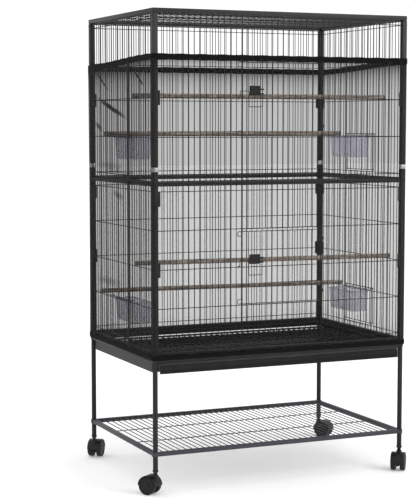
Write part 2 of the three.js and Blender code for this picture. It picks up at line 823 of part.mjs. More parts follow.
function netBand(wall, z0, z1) {
  const solid = (offset, low, high) => {
    const geometry = new THREE.ExtrudeGeometry(netOutline(offset), {
      depth: high - low, bevelEnabled: false, curveSegments: 1,
    });
    geometry.translate(0, 0, low);
    return solidOf(geometry);
  };
  return solid(wall, z0, z1).subtract(solid(0, z0 - past, z1 + past));
}

const hemFoot = standHeight - hemDrop;
const hemHead = hemFoot + hemTall;
const topElasticFoot = crossHeights(tiers[1])[crossWires - 2] - topElasticDrop;
model.add(meshOf('net_skirt',
  netBand(netWall, hemHead + fitGap, topElasticFoot - fitGap), netGauze()));
model.add(meshOf('net_top_elastic',
  netBand(elasticWall, topElasticFoot, topElasticFoot + topElasticTall), elastic()));
model.add(meshOf('net_bottom_elastic', netBand(elasticWall, hemFoot, hemHead), elastic()));

export default model;
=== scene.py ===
"""Finished look of a two-tier wire bird cage on a rolling stand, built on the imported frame."""

import math
import random

import bpy
from bpy.props import FloatProperty, FloatVectorProperty, IntProperty, PointerProperty
from mathutils import Matrix, Vector


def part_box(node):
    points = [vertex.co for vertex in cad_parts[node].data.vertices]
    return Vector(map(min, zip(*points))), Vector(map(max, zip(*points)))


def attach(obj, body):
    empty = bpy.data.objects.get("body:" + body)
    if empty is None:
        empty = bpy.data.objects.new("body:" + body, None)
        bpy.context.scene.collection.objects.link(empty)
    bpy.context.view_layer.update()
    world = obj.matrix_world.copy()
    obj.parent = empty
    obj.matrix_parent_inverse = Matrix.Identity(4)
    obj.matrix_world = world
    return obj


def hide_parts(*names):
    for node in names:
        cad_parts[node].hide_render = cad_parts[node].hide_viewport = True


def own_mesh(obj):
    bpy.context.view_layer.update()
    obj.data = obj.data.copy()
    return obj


bl_info = {
    "name": "Bird Cage on Stand",
    "version": (1, 0, 0),
    "blender": (4, 5, 0),
    "location": "View3D > Sidebar > Cage",
    "description": "Makes the visible pieces of a wire bird cage on its packed frame",
    "category": "Add Mesh",
}

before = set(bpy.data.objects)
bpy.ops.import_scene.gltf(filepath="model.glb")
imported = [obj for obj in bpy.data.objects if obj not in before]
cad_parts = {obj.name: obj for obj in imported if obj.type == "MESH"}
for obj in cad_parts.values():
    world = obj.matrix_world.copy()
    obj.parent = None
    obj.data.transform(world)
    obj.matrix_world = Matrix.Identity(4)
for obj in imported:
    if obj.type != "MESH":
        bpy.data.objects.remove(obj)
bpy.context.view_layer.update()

MM = 0.001
FIT = 0.3 * MM

# ---- Places worked out from the frame -------------------------------------------------------


def middle_of(node):
    """Middle of a CAD node's box."""
    low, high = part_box(node)
    return (low + high) / 2


LEG = middle_of("leg_front_right")
HALF_X, HALF_Y = LEG.x, -LEG.y
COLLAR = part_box("post_connector_front_right")
POST_HALF = (COLLAR[1].x - COLLAR[0].x) / 2
STAND_LOW, STAND_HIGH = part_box("stand_top_frame")
SHELF_LOW, SHELF_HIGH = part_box("shelf")
ROOF_LOW, ROOF_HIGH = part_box("roof_panel")
PANEL_LOW, PANEL_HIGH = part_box("front_panel_lower")
GRATE_LOW, GRATE_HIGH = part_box("floor_grate")
TRAY_LOW, TRAY_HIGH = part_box("tray")
SKIRT_LOW, SKIRT_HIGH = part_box("net_skirt")

BASE_RAIL_TALL = 14 * MM
MID_RAIL_TALL = 11 * MM
RAIL_THICK = 12 * MM
LEVELS = {
    "lower": (PANEL_LOW.z + BASE_RAIL_TALL / 2, PANEL_HIGH.z - MID_RAIL_TALL / 2),
    "upper": (PANEL_HIGH.z - MID_RAIL_TALL / 2, (ROOF_LOW.z + ROOF_HIGH.z) / 2),
}
CROSS_INSET = 20 * MM
CROSS_WIRES = 5
DOOR_GAPS = 7
FEEDER_GAPS = 4.5

CORNERS = {
    "front_left": (-1, -1, 126),
    "front_right": (1, -1, 232),
    "back_left": (-1, 1, 52),
    "back_right": (1, 1, 306),
}
# name: (x, y, turn, half the span between post axes, wire gaps to the heavy uprights)
SIDES = {
    "front": (0, -HALF_Y, 0, HALF_X, DOOR_GAPS),
    "right": (HALF_X, 0, 90, HALF_Y, FEEDER_GAPS),
    "back": (0, HALF_Y, 180, HALF_X, DOOR_GAPS),
    "left": (-HALF_X, 0, -90, HALF_Y, FEEDER_GAPS),
}
# name: (tier, cross wire it lies on, wire gaps to its left end, wire gaps to its right end)
PERCHES = {
    "perch_upper_front": ("upper", 2, -5, -8),
    "perch_upper_back": ("upper", 1, 8, 7),
    "perch_lower_front": ("lower", 2, -6, -10),
    "perch_lower_back": ("lower", 1, 10, 6),
}


def cross_heights(tier):
    """Heights of a tier's cross wires, lowest first."""
    foot, head = LEVELS[tier]
    gap = (head - foot - 2 * CROSS_INSET) / (CROSS_WIRES - 1)
    return [foot + CROSS_INSET + gap * i for i in range(CROSS_WIRES)]


# ---- What a user would change ---------------------------------------------------------------


def length(name, description, default):
    """A length property shown in the scene's units."""
    return FloatProperty(name=name, description=description, default=default, min=0, unit="LENGTH")


def colour(name, description, default):
    """A colour property."""
    return FloatVectorProperty(
        name=name, description=description, default=default, size=3, min=0, max=1, subtype="COLOR"
    )


class CageSizes(bpy.types.PropertyGroup):
    """Wire and edge sizes."""

    pitch: length("Wire pitch", "Middle to middle of two upright wires", 18 * MM)
    thin_wire: length("Thin wire", "Diameter of the panel wires", 2.2 * MM)
    heavy_wire: length("Heavy wire", "Diameter of the wires beside the openings", 3.2 * MM)
    grid_wire: length("Grid wire", "Diameter of the roof, grate and shelf wires", 2.6 * MM)
    tube_rounding: length("Tube rounding", "Radius on the edges of posts and rails", 1.8 * MM)
    perch_diameter: length("Perch diameter", "Thickness of the wooden perches", 13.5 * MM)
    net_step: length("Net step", "Distance between two columns of the net's mesh", 5 * MM)
    net_rows: IntProperty(name="Net rows", description="Rows of the net's mesh", default=44, min=8)


class CageColours(bpy.types.PropertyGroup):
    """Colours of the finishes."""

    coat: colour("Cage coat", "Powder coat on the cage", (0.019, 0.0183, 0.0183))
    stand_coat: colour("Stand coat", "Powder coat on the legs", (0.011, 0.0107, 0.014))
    shelf_coat: colour("Shelf coat", "Paler coat on the shelf", (0.042, 0.039, 0.049))
    zinc: colour("Zinc", "Bright connectors between the post tubes", (0.7, 0.7, 0.7))
    wood: colour("Wood", "Perches", (0.33, 0.275, 0.23))
    cup: colour("Cup", "Feeder cups", (0.64, 0.62, 0.76))
    caster: colour("Caster", "Caster plastic", (0.003, 0.003, 0.0035))
    net: colour("Net", "Thread of the net", (0.012, 0.0115, 0.011))


# ---- Modelling helpers ----------------------------------------------------------------------


def fresh():
    """Leaves nothing selected, so that the next operator acts on its own shape only."""
    if bpy.context.object and bpy.context.object.mode != "OBJECT":
        bpy.ops.object.mode_set(mode="OBJECT")
    bpy.ops.object.select_all(action="DESELECT")


def pick(*shapes):
    """Selects these shapes and makes the first one active."""
    fresh()
    for shape in shapes:
        shape.select_set(True)
    bpy.context.view_layer.objects.active = shapes[0]


def settle(shape):
    """Puts a shape's place, turn and size into its mesh."""
    pick(shape)
    bpy.ops.object.transform_apply(location=True, rotation=True, scale=True)
    return shape


def modify(shape, kind, **settings):
    """Adds one modifier and applies it."""
    pick(shape)
    modifier = shape.modifiers.new(kind.title(), kind)
    for name, value in settings.items():
        setattr(modifier, name, value)
    bpy.ops.object.modifier_apply(modifier=modifier.name)
    return shape


def rounded(shape, width, segments=2, angle=30):
    """Rounds every edge sharper than the angle."""
    return modify(
        shape, "BEVEL", width=width, segments=segments, limit_method="ANGLE",
        angle_limit=math.radians(angle),
    )


def box(low, high, rounding=0.0, segments=2):
    """A block between two corners, with rounded edges."""
    low, high = Vector(low), Vector(high)
    fresh()
    bpy.ops.mesh.primitive_cube_add(size=1, location=(low + high) / 2)
    shape = bpy.context.object
    shape.scale = high - low
    settle(shape)
    return rounded(shape, rounding, segments) if rounding else shape


def rod(start, end, radius, sides=8):
    """A straight round rod between two points."""
    start, end = Vector(start), Vector(end)
    fresh()
    bpy.ops.mesh.primitive_cylinder_add(
        vertices=sides, radius=radius, depth=(end - start).length, location=(start + end) / 2,
        rotation=(end - start).to_track_quat("Z", "Y").to_euler(),
    )
    return settle(bpy.context.object)


def row(shape, count, step):
    """Repeats a shape along a step."""
    return modify(
        shape, "ARRAY", count=count, use_relative_offset=False, use_constant_offset=True,
        constant_offset_displace=Vector(step),
    )


def faces(shape, test):
    """Opens edit mode with only the faces that pass the test selected."""
    fresh()
    bpy.context.view_layer.objects.active = shape
    shape.select_set(True)
    bpy.ops.object.mode_set(mode="EDIT")
    bpy.ops.mesh.select_mode(type="FACE")
    bpy.ops.mesh.select_all(action="DESELECT")
    bpy.ops.object.mode_set(mode="OBJECT")
    for face in shape.data.polygons:
        face.select = test(face)
    bpy.ops.object.mode_set(mode="EDIT")


def done():
    """Back to object mode."""
    bpy.ops.object.mode_set(mode="OBJECT")


def facing(x=0, y=0, z=0):
    """A test for faces that look one way."""
    way = Vector((x, y, z))
    return lambda face: face.normal.dot(way) > 0.9


def cut(shape, *tools):
    """Takes tools out of a shape and removes them."""
    for tool in tools:
        modify(shape, "BOOLEAN", operation="DIFFERENCE", object=tool, solver="EXACT")
        bpy.data.objects.remove(tool, do_unlink=True)
    return shape


def moved(shape, matrix):
    """Moves a shape's mesh."""
    shape.data.transform(matrix)
    shape.data.update()
    return shape


def copied(shape, matrix):
    """A copy with its own mesh, moved."""
    twin = shape.copy()
    twin.data = shape.data.copy()
    bpy.context.collection.objects.link(twin)
    return moved(twin, matrix)


def joined(name, shapes, angle=40):
    """Several shapes as one named object, smooth except at sharp edges."""
    pick(*shapes)
    if len(shapes) > 1:
        bpy.ops.object.join()
    shape = bpy.context.object
    shape.name = name
    shape.data.name = name
    bpy.ops.object.shade_smooth_by_angle(angle=math.radians(angle))
    return shape


def fitted(shape, material, slot, body, *nodes):
    """Gives a piece its finish and its CAD body, and hides the nodes it stands for."""
    shape.data.materials.clear()
    shape.data.materials.append(material)
    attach(shape, body)
    if nodes:
        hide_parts(*nodes)
    return shape


def bent_wire(points, radius, bend, closed=False):
    """A round wire through points in space, with an even bend at each corner."""
    points = [Vector(p) for p in points]
    path = []
    for i, point in enumerate(points):
        if not closed and i in (0, len(points) - 1):
            path.append(point)
            continue
        before = (points[i - 1] - point).normalized()
        after = (points[(i + 1) % len(points)] - point).normalized()
        path += [point + before * bend]
        path += [point + (before + after) * bend * 0.29]
        path += [point + after * bend]
    fresh()
    bpy.ops.curve.primitive_nurbs_path_add()
    wire = bpy.context.object
    wire.data.splines.clear()
    spline = wire.data.splines.new("POLY")
    spline.points.add(len(path) - 1)
    for target, point in zip(spline.points, path):
        target.co = (*point, 1)
    spline.use_cyclic_u = closed
    wire.data.dimensions = "3D"
    wire.data.bevel_depth = radius
    wire.data.bevel_resolution = 2
    wire.data.use_fill_caps = not closed
    pick(wire)
    wire.location = (0, 0, 0)
    bpy.ops.object.convert(target="MESH")
    return bpy.context.object


def screw(place, way, radius=3.1 * MM):
    """A low domed screw head on a face."""
    place, way = Vector(place), Vector(way)
    head = rod(place - way * MM, place + way * 1.3 * MM, radius, 16)
    return rounded(head, 0.6 * MM, 2)


# ---- Finishes -------------------------------------------------------------------------------


class Finish:
    """A material on object coordinates, built node by node."""

    def __init__(self, name, base, roughness, metallic=0.0):
        self.material = bpy.data.materials.new(name)
        self.material.use_nodes = True
        self.nodes = self.material.node_tree.nodes
        self.shader = self.nodes["Principled BSDF"]
        self.base = (*base, 1)
        self.set(**{"Base Color": self.base, "Roughness": roughness, "Metallic": metallic})
        self.place = self.add("ShaderNodeTexCoord").outputs["Object"]

    def set(self, **values):
        for name, value in values.items():
            self.shader.inputs[name].default_value = value

    def add(self, kind, inputs=(), **settings):
        node = self.nodes.new(kind)
        for name, value in settings.items():
            setattr(node, name, value)
        for name, value in dict(inputs).items():
            self.link(value, node.inputs[name])
        return node

    def link(self, value, socket):
        if isinstance(value, bpy.types.NodeSocket):
            self.material.node_tree.links.new(value, socket)
        else:
            socket.default_value = value

    def stretched(self, scale, turn=(0, 0, 0)):
        """Object coordinates scaled along each axis."""
        inputs = {"Vector": self.place, "Scale": scale, "Rotation": turn}
        return self.add("ShaderNodeMapping", inputs).outputs["Vector"]

    def noise(self, scale, detail=3.0, place=None):
        inputs = {"Vector": place or self.place, "Scale": scale, "Detail": detail}
        return self.add("ShaderNodeTexNoise", inputs).outputs["Fac"]

    def ranged(self, value, low, high, to_low, to_high):
        inputs = {
            "Value": value, "From Min": low, "From Max": high, "To Min": to_low, "To Max": to_high,
        }
        return self.add("ShaderNodeMapRange", inputs).outputs["Result"]

    def tint(self, value, shade_share, light):
        """Varies the base colour between a darker and a lighter share of itself."""
        ramp = self.add("ShaderNodeValToRGB", {"Fac": value})
        for element, share in zip(ramp.color_ramp.elements, (shade_share, light)):
            element.color = [c * share for c in self.base[:3]] + [1]
        ramp.color_ramp.elements[0].position = 0.3
        ramp.color_ramp.elements[1].position = 0.7
        self.link(ramp.outputs["Color"], self.shader.inputs["Base Color"])

    def bump(self, value, distance, strength=0.4):
        inputs = {"Height": value, "Distance": distance, "Strength": strength}
        node = self.add("ShaderNodeBump", inputs)
        self.link(node.outputs["Normal"], self.shader.inputs["Normal"])


def powder_coat(name, base, roughness=0.5):
    """Satin powder coat with fine orange peel and slight cloudiness."""
    finish = Finish(name, base, roughness)
    cloud = finish.noise(9, 4)
    peel = finish.noise(900, 2)
    finish.tint(cloud, 0.82, 1.2)
    rough = finish.ranged(peel, 0.3, 0.7, roughness - 0.05, roughness + 0.07)
    finish.link(rough, finish.shader.inputs["Roughness"])
    finish.bump(peel, 0.1 * MM, 0.15)
    finish.set(**{"Specular IOR Level": 0.25})
    return finish.material


def bright_zinc(base):
    """Zinc plate with a fine brushed grain and faint clouds."""
    finish = Finish("bright_zinc", base, 0.3, 0.9)
    grain = finish.noise(60, 4, finish.stretched((1, 1, 40)))
    finish.tint(grain, 0.85, 1.1)
    rough = finish.ranged(grain, 0.3, 0.7, 0.22, 0.42)
    finish.link(rough, finish.shader.inputs["Roughness"])
    finish.bump(grain, 0.05 * MM, 0.3)
    return finish.material


def dowel_wood(base):
    """Bare sanded dowel with long grain and a few darker pores."""
    finish = Finish("dowel_wood", base, 0.7)
    grain = finish.noise(30, 6, finish.stretched((0.6, 8, 8)))
    pores = finish.noise(160, 3, finish.stretched((0.5, 9, 9)))
    both = finish.add("ShaderNodeMath", {0: grain, 1: pores}, operation="MULTIPLY_ADD")
    finish.link(grain, both.inputs[2])
    finish.tint(finish.ranged(both.outputs[0], 0.55, 1.05, 0.2, 0.8), 0.6, 1.5)
    finish.bump(pores, 0.3 * MM, 0.5)
    return finish.material


def tray_gloss():
    """Glossy black moulding with faint ripples and dust."""
    finish = Finish("tray_gloss", (0.004, 0.004, 0.005), 0.14)
    dust = finish.noise(220, 5)
    rough = finish.ranged(dust, 0.35, 0.75, 0.08, 0.3)
    finish.link(rough, finish.shader.inputs["Roughness"])
    finish.tint(finish.noise(35, 3), 0.7, 1.6)
    finish.bump(finish.noise(14, 2), 0.5 * MM, 0.25)
    finish.set(**{"Specular IOR Level": 0.18})
    return finish.material


def cup_plastic(base):
    """Clear lilac-grey plastic, a little cloudy."""
    finish = Finish("cup_plastic", base, 0.22)
    cloud = finish.noise(25, 3)
    finish.tint(cloud, 0.85, 1.15)
    alpha = finish.ranged(cloud, 0.3, 0.7, 0.24, 0.36)
    finish.link(alpha, finish.shader.inputs["Alpha"])
    finish.bump(finish.noise(60, 2), 0.2 * MM, 0.15)
    finish.set(**{"Coat Weight": 0.4, "Coat Roughness": 0.1})
    return finish.material


def caster_plastic(name, base, roughness):
    """Moulded black plastic with a fine texture."""
    finish = Finish(name, base, roughness)
    skin = finish.noise(700, 3)
    finish.tint(finish.noise(30, 3), 0.8, 1.5)
    rough = finish.ranged(skin, 0.3, 0.7, roughness - 0.08, roughness + 0.1)
    finish.link(rough, finish.shader.inputs["Roughness"])
    finish.bump(skin, 0.12 * MM, 0.4)
    finish.set(**{"Specular IOR Level": 0.3})
    return finish.material


def threads(finish, uv, scale):
    """Crossing threads along the cloth's own width and height, 1 on a thread and 0 between."""
    bands = []
    for direction in ("X", "Y"):
        inputs = {"Vector": uv, "Scale": scale}
        band = finish.add(
            "ShaderNodeTexWave", inputs, wave_type="BANDS", bands_direction=direction,
        )
        bands.append(band.outputs["Fac"])
    both = finish.add("ShaderNodeMath", {0: bands[0], 1: bands[1]}, operation="MAXIMUM")
    return both.outputs[0]


# Creases on the left side, darkened partly by the doubled cloth and partly by painted shade: share of
# the depth, drop below the net's top, slope in degrees, half length, half width and how much painted
# shade and extra cover darken the cloth there.
SHADED_CREASES = (
    (0.50, 50 * MM, 27, 67 * MM, 5 * MM, 0.7),
    (-0.65, 47 * MM, 29, 48 * MM, 6 * MM, 0.9),
    (0.22, 125 * MM, 14, 142 * MM, 10 * MM, 0.9),
    (0.66, 178 * MM, 17, 42 * MM, 11 * MM, 0.5),
    (0.25, 293 * MM, 1, 134 * MM, 16 * MM, 0.25),
    (0.0, 374 * MM, 11, 50 * MM, 14 * MM, 0.3),
    (0.30, 627 * MM, -1, 127 * MM, 16 * MM, 0.25),
)


def net_gauze(base):
    """Fine knitted gauze: see-through between its threads, denser where it is gathered, and darker
    along the left side's creases, partly from doubled cloth and partly from painted shade.
    """
    finish = Finish("net_gauze", base, 0.85)
    uv = finish.add("ShaderNodeUVMap", uv_map="cloth").outputs["UV"]
    weave = threads(finish, uv, 210)
    density = finish.add("ShaderNodeAttribute", attribute_name="cloth_cover").outputs["Fac"]
    # Each crease adds cover that darkens the cloth: partly the doubled cloth of the fold, partly
    # painted shade in the crease.
    for depth, drop, slope, half_length, half_width, shade_share in SHADED_CREASES:
        middle = (-HALF_X - POST_HALF, depth * HALF_Y, SKIRT_HIGH.z - drop)
        inputs = {
            "Vector": finish.place, "Location": middle, "Rotation": (math.radians(slope), 0, 0),
            "Scale": (20 * MM, half_length, half_width),
        }
        place = finish.add("ShaderNodeMapping", inputs, vector_type="TEXTURE").outputs["Vector"]
        fold = finish.add("ShaderNodeTexGradient", {"Vector": place}, gradient_type="SPHERICAL")
        shaded_inputs = {0: fold.outputs["Fac"], 1: shade_share, 2: density}
        density = finish.add("ShaderNodeMath", shaded_inputs, operation="MULTIPLY_ADD").outputs[0]
    shares = finish.ranged(weave, 0.0, 1.0, 0.85, 1.15)
    alpha = finish.add("ShaderNodeMath", {0: density, 1: shares}, operation="MULTIPLY")
    alpha.use_clamp = True
    finish.link(alpha.outputs[0], finish.shader.inputs["Alpha"])
    finish.tint(finish.noise(12, 4), 0.8, 1.2)
    finish.bump(weave, 0.2 * MM, 0.3)
    finish.set(**{"Specular IOR Level": 0.1})
    return finish.material


def woven_elastic():
    """Black elastic with upright ribs."""
    finish = Finish("woven_elastic", (0.002, 0.002, 0.002), 0.95)
    uv = finish.add("ShaderNodeUVMap", uv_map="cloth").outputs["UV"]
    weave = threads(finish, uv, 120)
    finish.tint(weave, 0.6, 1.6)
    finish.bump(weave, 0.5 * MM, 0.6)
    finish.set(**{"Specular IOR Level": 0.15})
    return finish.material


MADE = {}


def finish_named(name, make, *values):
    """The named material, made on first use."""
    if name not in MADE:
        MADE[name] = make(*values)
    return MADE[name]


def coat(context, which="coat"):
    """Powder coat of the cage, the legs or the shelf."""
    base = getattr(context.scene.cage_colours, which)
    return finish_named(which, powder_coat, f"powder_{which}", base)


# ---- Wire panels ----------------------------------------------------------------------------
# A panel is made in its own XZ plane with its outer side towards -Y, then turned to its side.


def side_matrix(side):
    """Turns and moves a panel from its own plane to its side of the cage."""
    x, y, turn = SIDES[side][:3]
    return Matrix.Translation((x, y, 0)) @ Matrix.Rotation(math.radians(turn), 4, "Z")


def upright_row(places, pitch, low, high, radius):
    """Upright wires at an even pitch, at the first place and onwards."""
    start, count = places
    wire = rod((start * pitch, 0, low), (start * pitch, 0, high), radius)
    return row(wire, count, (pitch, 0, 0)) if count > 1 else wire


def opening(side, tier):
    """Lower and upper edge of the opening in a panel, or None."""
    z = cross_heights(tier)
    if side == "front":
        return z[1], z[3]
    return None if side == "back" else (z[0], z[1])


def wire_panel(side, tier, sizes):
    """Uprights, cross wires and rails of one panel."""
    half_span, gaps = SIDES[side][3:]
    pitch, thin, heavy = sizes.pitch, sizes.thin_wire / 2, sizes.heavy_wire / 2
    reach = half_span - POST_HALF - FIT
    node_low, node_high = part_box(f"{side}_panel_{tier}")
    lower = tier == "lower"
    low = node_low.z + (BASE_RAIL_TALL - MM if lower else MM)
    high = node_high.z - (MID_RAIL_TALL - MM if lower else MM)
    edge = reach - sizes.heavy_wire / 2
    outer = math.floor(edge / pitch - gaps - 0.4)
    shapes = []
    for way in (-1, 1):
        start = gaps + 1 if way > 0 else -gaps - outer
        shapes.append(upright_row((start, outer), pitch, low, high, thin))
        heavy_at = way * gaps * pitch
        shapes.append(rod((heavy_at, 0, low), (heavy_at, 0, high), heavy))
        shapes.append(rod((way * edge, 0, low), (way * edge, 0, high), thin))
    hole = opening(side, tier)
    inner = (1 - gaps, int(2 * gaps - 1))
    if hole:
        shapes.append(upright_row(inner, pitch, low, hole[0], thin))
        shapes.append(upright_row(inner, pitch, hole[1], high, thin))
        for z in hole:
            span = gaps * pitch
            shapes.append(rod((-span, 0, z), (span, 0, z), thin * 1.2))
    else:
        shapes.append(upright_row(inner, pitch, low, high, thin))
    behind = 2 * thin
    for z in cross_heights(tier):
        if hole and hole[0] + MM < z < hole[1] - MM:
            for way in (-1, 1):
                start = way * (gaps * pitch - heavy)
                shapes.append(rod((start, behind, z), (way * reach, behind, z), thin))
        else:
            shapes.append(rod((-reach, behind, z), (reach, behind, z), thin))
    half = RAIL_THICK / 2
    if lower:
        rails = ((node_low.z, BASE_RAIL_TALL), (node_high.z - MID_RAIL_TALL, MID_RAIL_TALL))
        for foot, tall in rails:
            rail = box((-reach, -half, foot), (reach, half, foot + tall), sizes.tube_rounding)
            shapes.append(rail)
            if side == "front":
                shapes.append(screw((0, -half, foot + tall / 2), (0, -1, 0)))
    else:
        for z in (node_low.z + heavy, node_high.z - heavy):
            shapes.append(rod((-reach, 0, z), (reach, 0, z), heavy))
    panel = joined(f"wires_{side}_{tier}", shapes)
    return moved(panel, side_matrix(side))


class CAGE_OT_panels(bpy.types.Operator):
    """Make the eight wire panels with their rails"""

    bl_idname = "cage.panels"
    bl_label = "Wire panels"

    def execute(self, context):
        for side in SIDES:
            for tier in LEVELS:
                panel = wire_panel(side, tier, context.scene.cage_sizes)
                node = f"{side}_panel_{tier}"
                fitted(panel, coat(context), "powder_coat", "cage", node)
        return {"FINISHED"}


# ---- Posts and connectors -------------------------------------------------------------------


def post_tube(x_way, y_way, foot, head, clip_middles, rounding):
    """A square tube with its panel clips."""
    half = POST_HALF
    tube = box((-half, -half, foot), (half, half, head), rounding, 3)
    faces(tube, lambda face: abs(face.normal.z) > 0.9 and face.area > 1e-4)
    bpy.ops.mesh.inset(thickness=1.2 * MM)
    bpy.ops.mesh.inset(thickness=0.2 * MM, depth=-3 * MM)
    done()
    shapes = [tube]
    reach, tall, thick = half + 7.5 * MM, 20 * MM, 1.8 * MM
    outside = 1.9 * MM + thick
    for middle in clip_middles:
        for lengthwise in (True, False):
            along = sorted((-x_way * (half - MM), -x_way * reach))
            across = sorted((y_way * (outside - thick), y_way * (outside + thick)))
            if not lengthwise:
                along = sorted((x_way * (outside - thick), x_way * (outside + thick)))
                across = sorted((-y_way * (half - MM), -y_way * reach))
            low = (along[0], across[0], middle - tall)
            high = (along[1], across[1], middle + tall)
            shapes.append(box(low, high, 1.2 * MM))
    return shapes


class CAGE_OT_posts(bpy.types.Operator):
    """Make the square posts and the bright connectors between them"""

    bl_idname = "cage.posts"
    bl_label = "Posts"

    def execute(self, context):
        rounding = context.scene.cage_sizes.tube_rounding
        zinc = finish_named("bright_zinc", bright_zinc, context.scene.cage_colours.zinc)
        heights = {tier: cross_heights(tier) for tier in LEVELS}
        clips = {
            "lower": (heights["lower"][2], heights["lower"][4] - 20 * MM),
            "upper": (heights["upper"][2],),
        }
        for corner, (x_way, y_way, _) in CORNERS.items():
            place = Matrix.Translation((x_way * HALF_X, y_way * HALF_Y, 0))
            for tier in LEVELS:
                node = f"{tier}_post_{corner}"
                low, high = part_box(node)
                shapes = post_tube(x_way, y_way, low.z, high.z, clips[tier], rounding)
                screws = [LEVELS["lower"][1]] if tier == "lower" else [high.z - 8 * MM]
                for z in screws:
                    shapes.append(screw((x_way * POST_HALF, 0, z), (x_way, 0, 0)))
                piece = moved(joined(f"tube_{tier}_{corner}", shapes), place)
                fitted(piece, coat(context), "powder_coat", "cage", node)
            node = f"post_connector_{corner}"
            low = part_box(f"lower_post_{corner}")[1].z
            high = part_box(f"upper_post_{corner}")[0].z
            half = POST_HALF
            shapes = [
                box((-half, -half, low + FIT), (half, half, high - FIT), 1.5 * MM, 3),
                box((-half + 2 * MM, -half + 2 * MM, low - 6 * MM),
                    (half - 2 * MM, half - 2 * MM, high + 6 * MM), MM),
            ]
            piece = moved(joined(f"collar_{corner}", shapes), place)
            fitted(piece, zinc, "zinc_plate", "cage", node)
        return {"FINISHED"}


# ---- Roof -----------------------------------------------------------------------------------


def rail_ring(half_x, half_y, width, foot, head, rounding):
    """Four rails as one closed ring with mitred, rounded corners."""
    ring = box((-half_x, -half_y, foot), (half_x, half_y, head))
    faces(ring, lambda face: abs(face.normal.z) > 0.9)
    bpy.ops.mesh.inset(thickness=width, use_even_offset=True)
    bpy.ops.mesh.bridge_edge_loops()
    done()
    return rounded(ring, rounding, 2)


def wire_floor(half_x, half_y, z, cross_places, sizes, gaps=20):
    """Front-to-back wires over a few lengthwise ones."""
    radius = sizes.grid_wire / 2
    first = -gaps * sizes.pitch
    wires = rod((first, -half_y, z), (first, half_y, z), radius)
    shapes = [row(wires, 2 * gaps + 1, (sizes.pitch, 0, 0))]
    below = z - 2 * radius
    for y in cross_places:
        shapes.append(rod((-half_x, y, below), (half_x, y, below), radius))
    return shapes


class CAGE_OT_roof(bpy.types.Operator):
    """Make the roof frame and its wires"""

    bl_idname = "cage.roof"
    bl_label = "Roof"

    def execute(self, context):
        sizes = context.scene.cage_sizes
        width = 2 * POST_HALF
        half_x, half_y = ROOF_HIGH.x, ROOF_HIGH.y
        middle = (ROOF_LOW.z + ROOF_HIGH.z) / 2
        shapes = [
            rail_ring(half_x, half_y, width, ROOF_LOW.z, ROOF_HIGH.z, sizes.tube_rounding),
        ]
        places = [share * 2 * HALF_Y for share in (-0.3, -0.1, 0.1, 0.3)]
        inside_x, inside_y = half_x - width + MM, half_y - width + MM
        shapes += wire_floor(inside_x, inside_y, middle, places, sizes)
        fitted(joined("roof", shapes), coat(context), "powder_coat", "cage", "roof_panel")
        return {"FINISHED"}


# ---- Front doors and latches ----------------------------------------------------------------

DOOR_LAYER = -3.1 * MM
DOOR_LEFT = -129 * MM
DOOR_RIGHT = 119 * MM
PLATE_LEFT = DOOR_LEFT + 23 * MM
PLATE_RIGHT = PLATE_LEFT + 33 * MM


def knuckle(z, heavy_at):
    """A strip rolled round the heavy upright."""
    roll = rod((heavy_at, 0, z - 4 * MM), (heavy_at, 0, z + 4 * MM), 4.3 * MM, 20)
    bore = rod((heavy_at, 0, z - 6 * MM), (heavy_at, 0, z + 6 * MM), 2.7 * MM, 20)
    tab = box((DOOR_RIGHT, -4.0 * MM, z - 3.8 * MM), (heavy_at - 2.4 * MM, -2.2 * MM, z + 3.8 * MM))
    return [rounded(cut(roll, bore), 0.4 * MM, 1), rounded(tab, 0.4 * MM, 1)]


def latch_plate(middle):
    """A moulded box on the door with two guides for the latch wire."""
    near, far = DOOR_LAYER, DOOR_LAYER - 5.1 * MM
    foot = middle + 8 * MM
    head = foot + 27 * MM
    body = box((PLATE_LEFT, far, foot), (PLATE_RIGHT, near, head), 1.2 * MM, 3)
    faces(body, lambda face: face.normal.y < -0.9 and face.area > 1e-4)
    bpy.ops.mesh.inset(thickness=3.5 * MM)
    bpy.ops.mesh.inset(thickness=0.7 * MM, depth=-0.8 * MM)
    done()
    shapes = [body]
    for rise in (2.7 * MM, 14.9 * MM):
        z = foot + rise
        guide = box((PLATE_RIGHT - MM, far, z), (PLATE_RIGHT + 9.4 * MM, near, z + 4 * MM))
        slot = box((PLATE_RIGHT + 4.6 * MM, far + 1.2 * MM, z - MM),
                   (PLATE_RIGHT + 7.4 * MM, near + MM, z + 5 * MM))
        shapes.append(rounded(cut(guide, slot), 0.4 * MM, 1))
    return shapes


def front_door(tier, sizes):
    """Door frame wires, filling wires, hairpins, knuckles and latch plate."""
    z = cross_heights(tier)
    low, middle, high = z[1] + 4 * MM, z[2], z[3] - 7.5 * MM
    thin, pitch, y = sizes.thin_wire / 2, sizes.pitch, DOOR_LAYER
    edge = 1.35 * MM
    heavy_at = DOOR_GAPS * pitch
    shapes = []
    for x in (DOOR_LEFT, DOOR_RIGHT):
        shapes.append(rod((x, y, low - 1.6 * MM), (x, y, high + 1.6 * MM), edge))
    for level in (low, middle, high):
        shapes.append(rod((DOOR_LEFT, y, level), (DOOR_RIGHT, y, level), thin))
    fill = upright_row((1 - DOOR_GAPS, 2 * DOOR_GAPS - 1), pitch, low, high, thin * 0.9)
    shapes.append(moved(fill, Matrix.Translation((0, y, 0))))
    end = DOOR_LEFT - 12 * MM
    for level, far in ((low, low + 13 * MM), (high, high - 13 * MM)):
        points = [(DOOR_LEFT, y, level), (end, y, level), (end, y, far), (DOOR_LEFT, y, far)]
        shapes.append(bent_wire(points, 1.05 * MM, 4 * MM))
    for level in (low + 26 * MM, high - 26 * MM):
        shapes += knuckle(level, heavy_at)
    shapes += latch_plate(middle)
    return joined(f"door_wires_{tier}", shapes)


